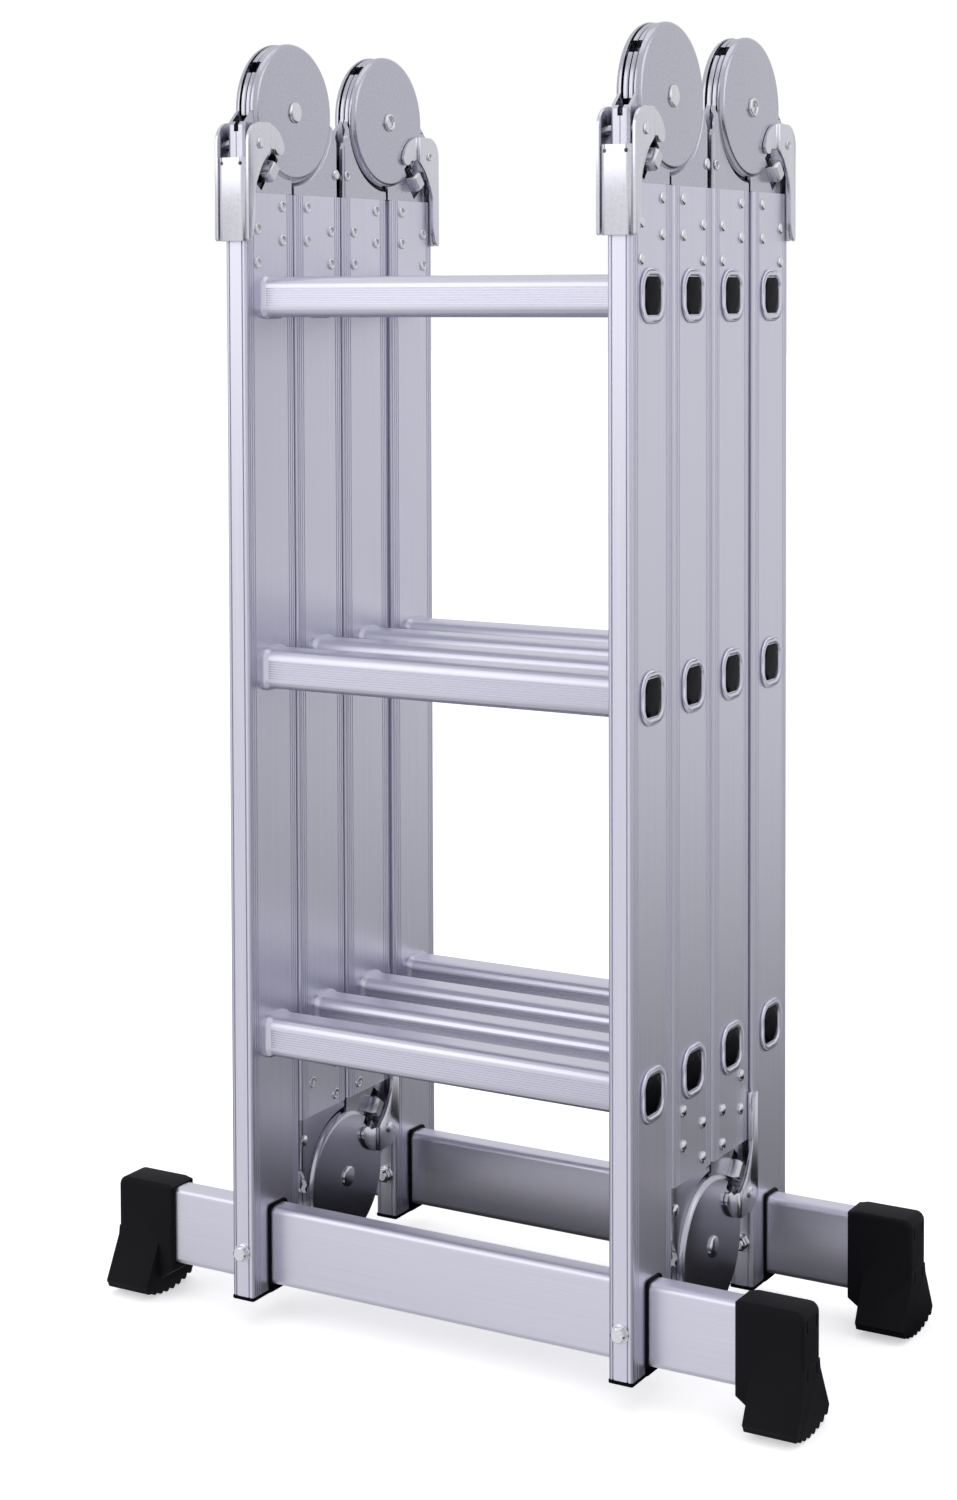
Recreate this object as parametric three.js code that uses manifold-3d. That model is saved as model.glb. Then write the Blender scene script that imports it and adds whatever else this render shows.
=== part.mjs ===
// A four-section folding ladder, shown folded flat: four short ladder sections stand one behind the
// other and are joined end to end by three pairs of locking hinges. Sections 1 and 4 stand on two
// stabiliser bars with rubber feet. Units are millimetres. +X runs along the rungs, +Y from the front
// section to the back one, +Z up. The origin is on the floor, in the middle of the footprint.

import * as THREE from 'three';
import { mergeVertices } from 'three/addons/utils/BufferGeometryUtils.js';
import Module from 'manifold-3d';

const wasm = await Module();
wasm.setup();

// ---- Driving dimensions ---------------------------------------------------------------------------

const clearance = 0.3;                 // gap kept between neighbouring pieces
const cutThrough = 20;                 // how far a cutting solid runs past the piece that it cuts

const rungPitch = 280;                 // rung to rung, also across an opened hinge
const rungsPerSection = 3;
const topRungHeight = 778;             // floor to the middle of the top rung

const ladderWidth = 338;               // over the outer faces of the stiles
const stileWidth = 19;                 // stile section, along X
const stileDepth = 64;                 // stile section, along Y
const stileWall = 1.5;
const stileCorner = 2;
const stileEndReach = 77.5;            // end rung to the stile end next to a hinge
const footEndReach = 195;              // bottom rung to the stile end above the floor
const sectionGaps = [2.5, 3, 7.5];     // between sections 1-2, 2-3 and 3-4; the last one houses levers

const rungSize = 30;                   // rounded square tube
const rungCorner = 8;
const rungWall = 1.5;
const flareSize = 40;                  // rung end spread over the outer face of the stile
const flareCorner = 12;
const flareThickness = 1.3;

const discRadius = 52;                 // outer hinge plates
const innerDiscRadius = 51.5;
const plateThickness = 2.5;
const armPlane = 7.7;                  // outer face of the plate arms, from the middle of the stile
const domePlane = 10;                  // outer face of the dished disc
const rimDepth = 4.9;                  // inner edge of the disc's turned rim
const innerPlateFace = 4.2;
const innerPlateHalfSplit = 0.15;      // half the gap between the two inner plates
const discSides = 16;

// Plate arm, measured from the hinge axis: outwards to its own side, and up, away from the stile.
const armInnerEdge = 1.6;
const armShoulder = [[30, 0], [51, 0], [59, -17]];
const armEdge = 63.4;
const armEdgeTop = -26;
const armCrotch = -30;
const armHeel = 5.6;                   // inner edge of the arm inside the stile
const tongueEnd = 120;                 // end of the arm inside the stile
const tongueSpacer = 12;               // height of the spacer between the inner plates' arms
const webTop = -28;                    // web that joins the outer plates along their far edge
const webNotchHalf = 2;
const webNotchBottom = -38;

const lockAngles = [40, 90, 145, 180]; // openings at which the hinge locks
const notchDepth = 8.5;
const notchPlay = 0.2;                 // extra room on each side of a locked bar

const lockBarWidth = 10;
const lockBarDepth = 14;
const lockBarLength = 30;
const lockBarAngle = -51;              // direction of the lock bar's slot, degrees from the arm's side
const lockBarInnerRadius = 52.2;       // edge of the bar that rides on the rim of the inner plates
const slotInnerRadius = 43;
const slotOuterRadius = 73.5;

const pivotRadius = 5.5;
const pivotHeadRadius = 8;
const pivotHeadHeight = 2.3;
const pivotSides = 10;

// Release lever, in the same directions as the plate arm.
const leverPivot = [54, -25.5];
const leverCheek = [12.7, 15.2];       // inner and outer face of a cheek
const leverCover = [68.4, 70.6];       // inner and outer face of the cover
const leverCoverSpan = [-98.5, -36.5];
const leverCheekEdge = 70.2;
const leverNeck = 38.5;                // where the cheek ends and the nose, set further in, goes on
const leverNeckSpan = [-30, -13];
const leverWaist = 60.5;
const leverWaistSpan = [-88, -62];
const leverTailEdge = 64;
const leverNoseSpan = [-27.5, -11.5];
const leverNoseTip = [[19, -26], [26, -32]];
const leverPinRadius = 3;
const leverPinHeadRadius = 4.2;
const leverPinHeadHeight = 1.5;
const leverPinSides = 8;

const barHeight = 60;                  // stabiliser bar
const barThickness = 20;
const barCorner = 4;
const barWall = 2;
const barCentreHeight = 56.5;
const barHalfLength = 286;

const boltRadius = 4;
const boltSides = 10;
const boltHeadRadius = 6.5;
const boltHeadHeight = 5;
const boltHeadSides = 6;

const liningThickness = 1.5;           // plastic lining between bar and stile
const liningLip = 1.5;                 // how far the lining stands out of the stile
const capThickness = 3;

const footSleeve = { inner: 238, outer: 290, halfDepth: 15, top: 96, corner: 10, bevel: 5 };
const footChin = { outer: 251, bottom: 13, top: 22 };   // slope under the sleeve's inner end
const footTread = { inner: 251, halfDepth: 31, waist: 43, rockerRadius: 75, facets: 7 };

// ---- Derived places -------------------------------------------------------------------------------

const sectionCount = sectionGaps.length + 1;
const stackDepth = sectionCount * stileDepth + sectionGaps.reduce((sum, gap) => sum + gap, 0);
const frontFaces = [-stackDepth / 2];
for (const gap of sectionGaps) {
  frontFaces.push(frontFaces[frontFaces.length - 1] + stileDepth + gap);
}
const stileCentreX = (ladderWidth - stileWidth) / 2;
const bottomRungHeight = topRungHeight - (rungsPerSection - 1) * rungPitch;
const stileTop = topRungHeight + stileEndReach;
const hingedStileBottom = bottomRungHeight - stileEndReach;
const footedStileBottom = bottomRungHeight - footEndReach;
const topAxisHeight = topRungHeight + rungPitch / 2;
const bottomAxisHeight = bottomRungHeight - rungPitch / 2;
const stileEnd = rungPitch / 2 - stileEndReach;      // hinge axis to the end of the stile
const armInside = armPlane - plateThickness;         // inner face of the plate arms
const joggleStart = discRadius + 1.6;                // where the inner plates spread to their arms
const joggleEnd = joggleStart + plateThickness;
const barTop = barCentreHeight + barHeight / 2;
const barPocketHalf = barThickness / 2 + clearance;  // room around the bar in feet and linings
const barPocketReach = barHeight / 2 + clearance;
const sides = [['left', -1], ['right', 1]];

// ---- Materials ------------------------------------------------------------------------------------

const finish = (color, roughness, metalness) =>
  new THREE.MeshStandardMaterial({ color, roughness, metalness });
const aluminium = finish(0xc9c9d2, 0.38, 0.9);
const zincSteel = finish(0xb4b4be, 0.42, 0.9);
const brightSteel = finish(0xd8d8de, 0.25, 1);
const blackPlastic = finish(0x17171b, 0.35, 0);
const blackRubber = finish(0x1b1b1f, 0.85, 0);

// ---- Solids ---------------------------------------------------------------------------------------

function toSolid(geometry) {
  const bare = geometry.index ? geometry.toNonIndexed() : geometry.clone();
  bare.deleteAttribute('normal');
  bare.deleteAttribute('uv');
  const merged = mergeVertices(bare, 1e-4);
  return new wasm.Manifold(new wasm.Mesh({
    numProp: 3,
    vertProperties: new Float32Array(merged.attributes.position.array),
    triVerts: new Uint32Array(merged.index.array),
  }));
}

function toGeometry(solid) {
  const mesh = solid.getMesh();
  const geometry = new THREE.BufferGeometry();
  geometry.setAttribute('position', new THREE.BufferAttribute(new Float32Array(mesh.vertProperties), 3));
  geometry.setIndex(new THREE.BufferAttribute(new Uint32Array(mesh.triVerts), 1));
  geometry.computeVertexNormals();
  return geometry;
}

const union = (solids) => solids.reduce((whole, piece) => whole.add(piece));

function boxBetween([x0, y0, z0], [x1, y1, z1]) {
  const box = new THREE.BoxGeometry(x1 - x0, y1 - y0, z1 - z0);
  box.translate((x0 + x1) / 2, (y0 + y1) / 2, (z0 + z1) / 2);
  return toSolid(box);
}

// A flat shape drawn in (Y, Z) and extruded along X from x0 to x1.
function extrudeX(shape, x0, x1) {
  const geometry = new THREE.ExtrudeGeometry(
    shape, { depth: x1 - x0, bevelEnabled: false, curveSegments: 2 });
  const yzToX = new THREE.Matrix4().makeBasis(
    new THREE.Vector3(0, 1, 0), new THREE.Vector3(0, 0, 1), new THREE.Vector3(1, 0, 0));
  geometry.applyMatrix4(yzToX);
  geometry.translate(x0, 0, 0);
  return toSolid(geometry);
}

// The same flat shape on both sides of the middle plane, between |x| = near and |x| = far.
function extrudePair(shape, near, far) {
  return [extrudeX(shape, near, far), extrudeX(shape, -far, -near)];
}

// A flat shape drawn in (X, Z) and extruded to both sides of Y = 0.
function extrudeY(shape, halfDepth) {
  const geometry = new THREE.ExtrudeGeometry(
    shape, { depth: 2 * halfDepth, bevelEnabled: false, curveSegments: 2 });
  geometry.rotateX(Math.PI / 2);
  geometry.translate(0, halfDepth, 0);
  return toSolid(geometry);
}

function extrudeZ(shape, z0, z1) {
  const geometry = new THREE.ExtrudeGeometry(shape, { depth: z1 - z0, bevelEnabled: false });
  geometry.translate(0, 0, z0);
  return toSolid(geometry);
}

// A pin along X through (y, z).
function pinX(radius, x0, x1, segments, y = 0, z = 0) {
  const cylinder = new THREE.CylinderGeometry(radius, radius, x1 - x0, segments);
  cylinder.rotateZ(Math.PI / 2);
  cylinder.translate((x0 + x1) / 2, y, z);
  return toSolid(cylinder);
}

// A pin along Y through (x, z).
function pinY(radius, y0, y1, segments, x = 0, z = 0) {
  const cylinder = new THREE.CylinderGeometry(radius, radius, y1 - y0, segments);
  cylinder.translate(x, (y0 + y1) / 2, z);
  return toSolid(cylinder);
}

function polygon(points) {
  return new THREE.Shape(points.map(([a, b]) => new THREE.Vector2(a, b)));
}

// Each corner is drawn with `steps` chords.
function roundedRectangle(width, height, radius, steps = 1) {
  const points = [];
  for (let corner = 0; corner < 4; corner += 1) {
    const centreX = (corner === 0 || corner === 3 ? 1 : -1) * (width / 2 - radius);
    const centreY = (corner < 2 ? 1 : -1) * (height / 2 - radius);
    for (let i = 0; i <= steps; i += 1) {
      const angle = (corner + i / steps) * Math.PI / 2;
      points.push([centreX + radius * Math.cos(angle), centreY + radius * Math.sin(angle)]);
    }
  }
  return polygon(points);
}

function disc(radius) {
  const points = [];
  for (let i = 0; i < discSides; i += 1) {
    const angle = 2 * Math.PI * i / discSides;
    points.push([radius * Math.cos(angle), radius * Math.sin(angle)]);
  }
  return polygon(points);
}

// A hole whose flats stay clear of a turning pin of the same number of sides.
const holeRadius = (pinRadius, pinSides) => (pinRadius + clearance) / Math.cos(Math.PI / pinSides);

// ---- Stiles and rungs -----------------------------------------------------------------------------

// The stile's own frame has its section centred on Z. Holes take the rungs and, on the sections that
// stand on the floor, a notch open at the bottom takes the stabiliser bar.
function makeStile(bottom, takesBar) {
  const outside = extrudeZ(roundedRectangle(stileWidth, stileDepth, stileCorner), bottom, stileTop);
  const bore = boxBetween(
    [-stileWidth / 2 + stileWall, -stileDepth / 2 + stileWall, bottom - cutThrough],
    [stileWidth / 2 - stileWall, stileDepth / 2 - stileWall, stileTop + cutThrough]);
  let stile = outside.subtract(bore);
  const holeSize = rungSize + 2 * clearance;
  const hole = extrudeX(roundedRectangle(holeSize, holeSize, rungCorner / 2), -cutThrough, cutThrough);
  for (let i = 0; i < rungsPerSection; i += 1) {
    stile = stile.subtract(hole.translate([0, 0, bottomRungHeight + i * rungPitch]));
  }
  if (takesBar) {
    const notchHalf = barPocketHalf + liningThickness + clearance;
    const notchTop = barTop + liningThickness + 2 * clearance;
    stile = stile.subtract(boxBetween(
      [-cutThrough, -notchHalf, bottom - cutThrough], [cutThrough, notchHalf, notchTop]));
    stile = stile.subtract(pinY(
      boltRadius + clearance, -stileDepth, stileDepth, boltSides, 0, barCentreHeight));
  }
  return toGeometry(stile);
}

// A rung tube that passes through both stiles and is spread over their outer faces.
function makeRung() {
  const flareStart = ladderWidth / 2 + clearance;
  const end = flareStart + flareThickness;
  const tube = extrudeX(roundedRectangle(rungSize, rungSize, rungCorner, 2), -end, end);
  const flares = extrudePair(roundedRectangle(flareSize, flareSize, flareCorner, 2), flareStart, end);
  const boreSize = rungSize - 2 * rungWall;
  const boreShape = roundedRectangle(boreSize, boreSize, rungCorner - rungWall);
  const bore = extrudeX(boreShape, -end - cutThrough, end + cutThrough);
  return toGeometry(union([tube, ...flares]).subtract(bore));
}

// ---- Hinge ----------------------------------------------------------------------------------------

// The hinge's own frame: the axis is X, +Y points to the side of the arm that carries the lever, and
// +Z points away from the stiles.

// A block of the given width that lies along the direction `angle` in the (Y, Z) plane.
function radialBlock(width, innerRadius, outerRadius, halfLength, angle) {
  const block = boxBetween([-halfLength, innerRadius, -width / 2], [halfLength, outerRadius, width / 2]);
  return block.rotate([angle, 0, 0]);
}

// An arm narrows below the stile's end, where it goes inside.
function armOutline(side) {
  const mouth = -stileEnd + clearance;
  const points = [
    [armInnerEdge, mouth], [armInnerEdge, armCrotch], ...armShoulder, [armEdge, armEdgeTop],
    [armEdge, -tongueEnd], [armHeel, -tongueEnd], [armHeel, mouth],
  ];
  return polygon(points.map(([out, up]) => [side * out, up]));
}

// Two dished discs with turned rims, each with an arm that goes into the stile. A web along the far
// edge of the arms joins the two plates.
function makeOuterPlates() {
  const hollowRadius = discRadius - plateThickness;
  const dishes = extrudePair(disc(discRadius), rimDepth, domePlane);
  const hollows = extrudePair(disc(hollowRadius), rimDepth - clearance, domePlane - plateThickness);
  const shells = dishes.map((dish, i) => dish.subtract(hollows[i]));
  const insideRim = extrudeX(disc(discRadius - plateThickness / 2), -cutThrough, cutThrough);
  const arms = extrudePair(armOutline(1), armInside, armPlane).map((arm) => arm.subtract(insideRim));
  const web = boxBetween([-armPlane, armEdge - plateThickness, -stileEnd], [armPlane, armEdge, webTop]);
  const webNotch = boxBetween(
    [-webNotchHalf, armEdge - 2 * plateThickness, webNotchBottom],
    [webNotchHalf, armEdge + plateThickness, webTop + plateThickness]);
  const slotWidth = lockBarWidth + 2 * clearance;
  const slot = radialBlock(slotWidth, slotInnerRadius, slotOuterRadius, cutThrough, lockBarAngle);
  const pivotHole = pinX(holeRadius(pivotRadius, pivotSides), -cutThrough, cutThrough, pivotSides);
  const pinHole = pinX(
    holeRadius(leverPinRadius, leverPinSides), -cutThrough, cutThrough, leverPinSides, ...leverPivot);
  const cuts = [webNotch, slot, pivotHole, pinHole];
  return toGeometry(cuts.reduce((plates, cut) => plates.subtract(cut), union([...shells, ...arms, web])));
}

// Two flat discs between the dished ones. Beyond the discs their arms spread apart to the walls of the
// stile, where a spacer joins them. The rim has a notch for each locking position.
function makeInnerPlates() {
  const outline = armOutline(-1);
  const beyond = extrudeX(disc(joggleEnd), -cutThrough, cutThrough);
  const within = extrudeX(disc(joggleStart), -cutThrough, cutThrough);
  const discs = extrudePair(disc(innerDiscRadius), innerPlateHalfSplit, innerPlateFace);
  const necks = extrudePair(outline, innerPlateHalfSplit, innerPlateFace)
    .map((neck) => neck.intersect(beyond));
  const joggles = extrudePair(outline, innerPlateHalfSplit, armPlane)
    .map((joggle) => joggle.intersect(beyond).subtract(within));
  const arms = extrudePair(outline, armInside, armPlane).map((arm) => arm.subtract(within));
  const spacer = boxBetween(
    [-armPlane, -armEdge, -tongueEnd], [armPlane, -armHeel, -tongueEnd + tongueSpacer]);
  let plates = union([...discs, ...necks, ...joggles, ...arms, spacer]);
  const notchWidth = lockBarWidth + 2 * (clearance + notchPlay);
  const notchFloor = innerDiscRadius - notchDepth;
  for (const opening of lockAngles) {
    plates = plates.subtract(radialBlock(
      notchWidth, notchFloor, joggleStart, cutThrough, lockBarAngle + opening));
  }
  const pivotHole = pinX(holeRadius(pivotRadius, pivotSides), -cutThrough, cutThrough, pivotSides);
  return toGeometry(plates.subtract(pivotHole));
}

function makePivotRivet() {
  const headStart = domePlane + clearance;
  const headEnd = headStart + pivotHeadHeight;
  return toGeometry(union([
    pinX(pivotRadius, -headEnd, headEnd, pivotSides),
    pinX(pivotHeadRadius, headStart, headEnd, pivotSides),
    pinX(pivotHeadRadius, -headEnd, -headStart, pivotSides),
  ]));
}

function makeLockBar() {
  const outerRadius = lockBarInnerRadius + lockBarDepth;
  return toGeometry(radialBlock(
    lockBarWidth, lockBarInnerRadius, outerRadius, lockBarLength / 2, lockBarAngle));
}

// The cheek is a plate with a round head around the pin and a long tail beside the cover.
function leverCheekOutline() {
  const [pinOut, pinUp] = leverPivot;
  const [tailEnd] = leverCoverSpan;
  const headRadius = leverCheekEdge - pinOut;
  const headEnd = THREE.MathUtils.degToRad(100);
  const cheek = new THREE.Shape();
  cheek.moveTo(leverCheekEdge, tailEnd);
  cheek.lineTo(leverCheekEdge, pinUp);
  cheek.absarc(pinOut, pinUp, headRadius, 0, headEnd);
  cheek.lineTo(leverNeck, leverNeckSpan[1]);
  cheek.lineTo(leverNeck, leverNeckSpan[0]);
  cheek.quadraticCurveTo(leverWaist, leverNeckSpan[0] - headRadius, leverWaist, leverWaistSpan[1]);
  cheek.lineTo(leverWaist, leverWaistSpan[0]);
  cheek.quadraticCurveTo(leverWaist, (leverWaistSpan[0] + tailEnd) / 2, leverTailEdge, tailEnd);
  return cheek;
}

// The nose reaches over the end of the lock bar.
function leverNoseOutline() {
  const [noseBottom, noseTop] = leverNoseSpan;
  const [tip, heel] = leverNoseTip;
  const root = leverNeck + plateThickness;
  const nose = new THREE.Shape();
  nose.moveTo(root, noseTop);
  nose.quadraticCurveTo((root + tip[0]) / 2, noseTop, ...tip);
  nose.lineTo(...heel);
  nose.lineTo(heel[0] + lockBarWidth / 2, noseBottom);
  nose.lineTo(root, noseBottom);
  return nose;
}

// A bent sheet: two cheeks joined by the cover, which a finger pulls. Its pin is part of it.
function makeLever() {
  const [cheekInner, cheekOuter] = leverCheek;
  const cheeks = extrudePair(leverCheekOutline(), cheekInner, cheekOuter);
  const noses = extrudePair(leverNoseOutline(), domePlane + 2 * clearance, cheekInner + clearance);
  const cover = boxBetween(
    [-cheekOuter, leverCover[0], leverCoverSpan[0]], [cheekOuter, leverCover[1], leverCoverSpan[1]]);
  const pinEnd = cheekOuter + leverPinHeadHeight;
  const headStart = cheekOuter - clearance;
  const pin = pinX(leverPinRadius, -pinEnd, pinEnd, leverPinSides, ...leverPivot);
  const pinHeads = [
    pinX(leverPinHeadRadius, headStart, pinEnd, leverPinSides, ...leverPivot),
    pinX(leverPinHeadRadius, -pinEnd, -headStart, leverPinSides, ...leverPivot),
  ];
  return toGeometry(union([...cheeks, ...noses, cover, pin, ...pinHeads]));
}

// ---- Stabiliser bars, feet and end caps -----------------------------------------------------------

// The bar's own frame has its section centred on X. Its two bolts are part of it.
function makeStabiliserBar() {
  const section = roundedRectangle(barThickness, barHeight, barCorner);
  const outside = extrudeX(section, -barHalfLength, barHalfLength);
  const boreShape = roundedRectangle(
    barThickness - 2 * barWall, barHeight - 2 * barWall, barCorner - barWall);
  const bore = extrudeX(boreShape, -barHalfLength - cutThrough, barHalfLength + cutThrough);
  let bar = outside.subtract(bore);
  const headStart = stileDepth / 2 + clearance;
  const headEnd = headStart + boltHeadHeight;
  for (const [, side] of sides) {
    const x = side * stileCentreX;
    bar = bar.add(pinY(boltRadius, -headEnd, headEnd, boltSides, x));
    bar = bar.add(pinY(boltHeadRadius, headStart, headEnd, boltHeadSides, x));
    bar = bar.add(pinY(boltHeadRadius, -headEnd, -headStart, boltHeadSides, x));
  }
  return toGeometry(bar);
}

// The rocker's lowest facet is flat on the floor, because it has an odd number of facets.
function treadOutline() {
  const { halfDepth, waist, rockerRadius, facets } = footTread;
  const step = 2 * Math.asin(halfDepth / rockerRadius) / facets;
  const rockerCentre = rockerRadius * Math.cos(step / 2);
  const points = [[footSleeve.halfDepth, waist], [-footSleeve.halfDepth, waist]];
  for (let i = 0; i <= facets; i += 1) {
    const angle = (i - facets / 2) * step;
    points.push([rockerRadius * Math.sin(angle), rockerCentre - rockerRadius * Math.cos(angle)]);
  }
  return polygon(points);
}

function sleeveOutline() {
  const { inner, outer, top, corner, bevel } = footSleeve;
  const sleeve = new THREE.Shape();
  sleeve.moveTo(inner, footChin.top);
  sleeve.lineTo(footChin.outer, footChin.bottom);
  sleeve.lineTo(outer, footChin.bottom);
  sleeve.lineTo(outer, top - bevel);
  sleeve.lineTo(outer - bevel, top);
  sleeve.lineTo(inner + corner, top);
  sleeve.absarc(inner + corner, top - corner, corner, Math.PI / 2, Math.PI);
  return sleeve;
}

// The foot's own frame: the stabiliser bar enters it from -X, and Z = 0 is the floor.
function makeFoot() {
  const sleeve = extrudeY(sleeveOutline(), footSleeve.halfDepth);
  const tread = extrudeX(treadOutline(), footTread.inner, footSleeve.outer);
  const pocket = boxBetween(
    [footSleeve.inner - cutThrough, -barPocketHalf, barCentreHeight - barPocketReach],
    [barHalfLength + clearance, barPocketHalf, barCentreHeight + barPocketReach]);
  return toGeometry(sleeve.add(tread).subtract(pocket));
}

// A plastic cap that closes the stile end and carries the lining of the bar's notch.
function makeEndCap() {
  const capBottom = footedStileBottom - capThickness;
  const plate = extrudeZ(
    roundedRectangle(stileWidth, stileDepth, stileCorner), capBottom, footedStileBottom - clearance);
  const halfWidth = stileWidth / 2 + liningLip;
  const liningHalf = barPocketHalf + liningThickness;
  const lining = boxBetween(
    [-halfWidth, -liningHalf, capBottom],
    [halfWidth, liningHalf, barTop + clearance + liningThickness]);
  const pocket = boxBetween(
    [-cutThrough, -barPocketHalf, barCentreHeight - barPocketReach],
    [cutThrough, barPocketHalf, barCentreHeight + barPocketReach]);
  const boltHole = pinY(boltRadius + clearance, -stileDepth, stileDepth, boltSides, 0, barCentreHeight);
  return toGeometry(plate.add(lining).subtract(pocket).subtract(boltHole));
}

// ---- Assembly -------------------------------------------------------------------------------------

const ladder = new THREE.Group();

function place(name, geometry, material, position, rotation = [0, 0, 0]) {
  const mesh = new THREE.Mesh(geometry, material);
  mesh.name = name;
  mesh.position.set(...position);
  mesh.rotation.set(...rotation);
  ladder.add(mesh);
}

const hingedStile = makeStile(hingedStileBottom, false);
const footedStile = makeStile(footedStileBottom, true);
const rung = makeRung();
const rungNames = ['bottom', 'middle', 'top'];

frontFaces.forEach((frontFace, index) => {
  const section = `section_${index + 1}`;
  const middle = frontFace + stileDepth / 2;
  const standsOnFloor = index === 0 || index === sectionCount - 1;
  for (const [sideName, side] of sides) {
    const stile = standsOnFloor ? footedStile : hingedStile;
    place(`${section}_${sideName}_stile`, stile, aluminium, [side * stileCentreX, middle, 0]);
  }
  rungNames.forEach((rungName, i) => {
    place(`${section}_${rungName}_rung`, rung, aluminium, [0, middle, bottomRungHeight + i * rungPitch]);
  });
});

// Each hinge sits in the gap between two sections. `turn` takes the hinge's own frame to its place:
// the lever faces the front, the back, or, at the bottom, the back with the hinge upside down.
const gapMiddle = (index) => frontFaces[index + 1] - sectionGaps[index] / 2;
const hinges = [
  { name: 'hinge_12', y: gapMiddle(0), z: topAxisHeight, turn: [0, 0, Math.PI] },
  { name: 'hinge_23', y: gapMiddle(1), z: bottomAxisHeight, turn: [0, Math.PI, 0] },
  { name: 'hinge_34', y: gapMiddle(2), z: topAxisHeight, turn: [0, 0, 0] },
];
const hingePieces = [
  ['outer_plates', makeOuterPlates(), zincSteel],
  ['inner_plates', makeInnerPlates(), zincSteel],
  ['pivot_rivet', makePivotRivet(), brightSteel],
  ['lock_bar', makeLockBar(), brightSteel],
  ['release_lever', makeLever(), brightSteel],
];
for (const { name, y, z, turn } of hinges) {
  for (const [sideName, side] of sides) {
    for (const [pieceName, geometry, material] of hingePieces) {
      place(`${name}_${sideName}_${pieceName}`, geometry, material, [side * stileCentreX, y, z], turn);
    }
  }
}

const stabiliserBar = makeStabiliserBar();
const foot = makeFoot();
const endCap = makeEndCap();
for (const [row, index] of [['front', 0], ['rear', sectionCount - 1]]) {
  const middle = frontFaces[index] + stileDepth / 2;
  place(`${row}_stabiliser_bar`, stabiliserBar, aluminium, [0, middle, barCentreHeight]);
  for (const [sideName, side] of sides) {
    const turn = [0, 0, side < 0 ? Math.PI : 0];
    place(`${row}_${sideName}_foot`, foot, blackRubber, [0, middle, 0], turn);
    place(`section_${index + 1}_${sideName}_end_cap`, endCap, blackPlastic, [side * stileCentreX, middle, 0]);
  }
}

export default ladder;
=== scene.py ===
import math

import bmesh
import bpy
from mathutils import Matrix, Vector


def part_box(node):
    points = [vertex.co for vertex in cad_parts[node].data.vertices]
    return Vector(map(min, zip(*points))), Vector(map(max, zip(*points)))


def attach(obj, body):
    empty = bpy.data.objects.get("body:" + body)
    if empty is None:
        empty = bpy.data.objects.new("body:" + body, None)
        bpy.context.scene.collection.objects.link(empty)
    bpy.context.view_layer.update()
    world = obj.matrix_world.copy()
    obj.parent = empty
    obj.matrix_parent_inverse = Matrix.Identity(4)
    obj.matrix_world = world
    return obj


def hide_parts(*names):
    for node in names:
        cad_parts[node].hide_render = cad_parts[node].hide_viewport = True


# The visible model of a four-section folding ladder, folded and standing on two stabiliser bars. Shapes
# are drawn in millimetres and finished in metres. +X runs along the rungs, +Y to the back.

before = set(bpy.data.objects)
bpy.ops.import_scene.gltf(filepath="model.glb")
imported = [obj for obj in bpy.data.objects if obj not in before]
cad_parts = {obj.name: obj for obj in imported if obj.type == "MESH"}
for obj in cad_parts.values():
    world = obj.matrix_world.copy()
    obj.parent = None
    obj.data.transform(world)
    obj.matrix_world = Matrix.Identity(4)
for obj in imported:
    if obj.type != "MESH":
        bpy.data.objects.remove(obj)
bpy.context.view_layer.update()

MM = 0.001
SIDES = {"left": -1, "right": 1}
SECTIONS = (1, 2, 3, 4)
STANDING = {1: "front", 4: "rear"}      # sections that hold a stabiliser bar
RUNGS = ("bottom", "middle", "top")

# ---- Places and sizes from the frame ---------------------------------------------------------------


def box_mm(node):
    low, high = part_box(node)
    return low / MM, high / MM


def middle_mm(node):
    low, high = box_mm(node)
    return (low + high) / 2


STILE_LOW, STILE_HIGH = box_mm("section_1_left_stile")
HINGED_STILE_BOTTOM = box_mm("section_2_left_stile")[0].z
STILE_WIDTH = STILE_HIGH.x - STILE_LOW.x
STILE_DEPTH = STILE_HIGH.y - STILE_LOW.y
STILE_TOP = STILE_HIGH.z
STILE_BOTTOM = STILE_LOW.z
STILE_OUTSIDE = -STILE_LOW.x            # outer face of a stile, from the middle of the ladder
RUNG_HEIGHTS = [middle_mm(f"section_1_{name}_rung").z for name in RUNGS]
BAR_LOW, BAR_HIGH = box_mm("front_stabiliser_bar")
BAR_MIDDLE = (BAR_LOW.z + BAR_HIGH.z) / 2
BAR_HEIGHT = BAR_HIGH.z - BAR_LOW.z
BAR_END = BAR_HIGH.x
FOOT_LOW, FOOT_HIGH = box_mm("front_right_foot")
STILE_END = middle_mm("hinge_12_left_pivot_rivet").z - STILE_TOP     # hinge axis to the stile's end

STILE_WALL = 1.5
GAP = 0.3                               # air between neighbouring pieces
THROUGH = 30                            # how far a cutter runs past the piece that it cuts
RUNG_HALF = 15
RUNG_CORNER = 8
BORE_HALF = 13.5
BORE_CORNER = 6.5
BAR_THICKNESS = 20
DISC_RADIUS = 52
DISC_FACE = 10                          # outer face of the dished disc, from the middle of the hinge
ARM_FACE = 7.7                          # outer face of an arm
ARM_EDGE = 63.4                         # far edge of an arm, from the hinge's axis
SHEET = 2.5                             # thickness of the plates
RIM_EDGE = 5.1                          # where the rim of the dished disc ends, from the hinge's middle
INNER_FACE = 4.0                        # outer face of the notched disc
PIVOT_HOLE = 5.9
SMOOTH_ANGLE = math.radians(32)

# ---- Shapes ----------------------------------------------------------------------------------------

AXES = {
    "x": lambda a, b, t: (t, a, b),
    "y": lambda a, b, t: (a, t, b),
    "z": lambda a, b, t: (a, b, t),
}


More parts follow.
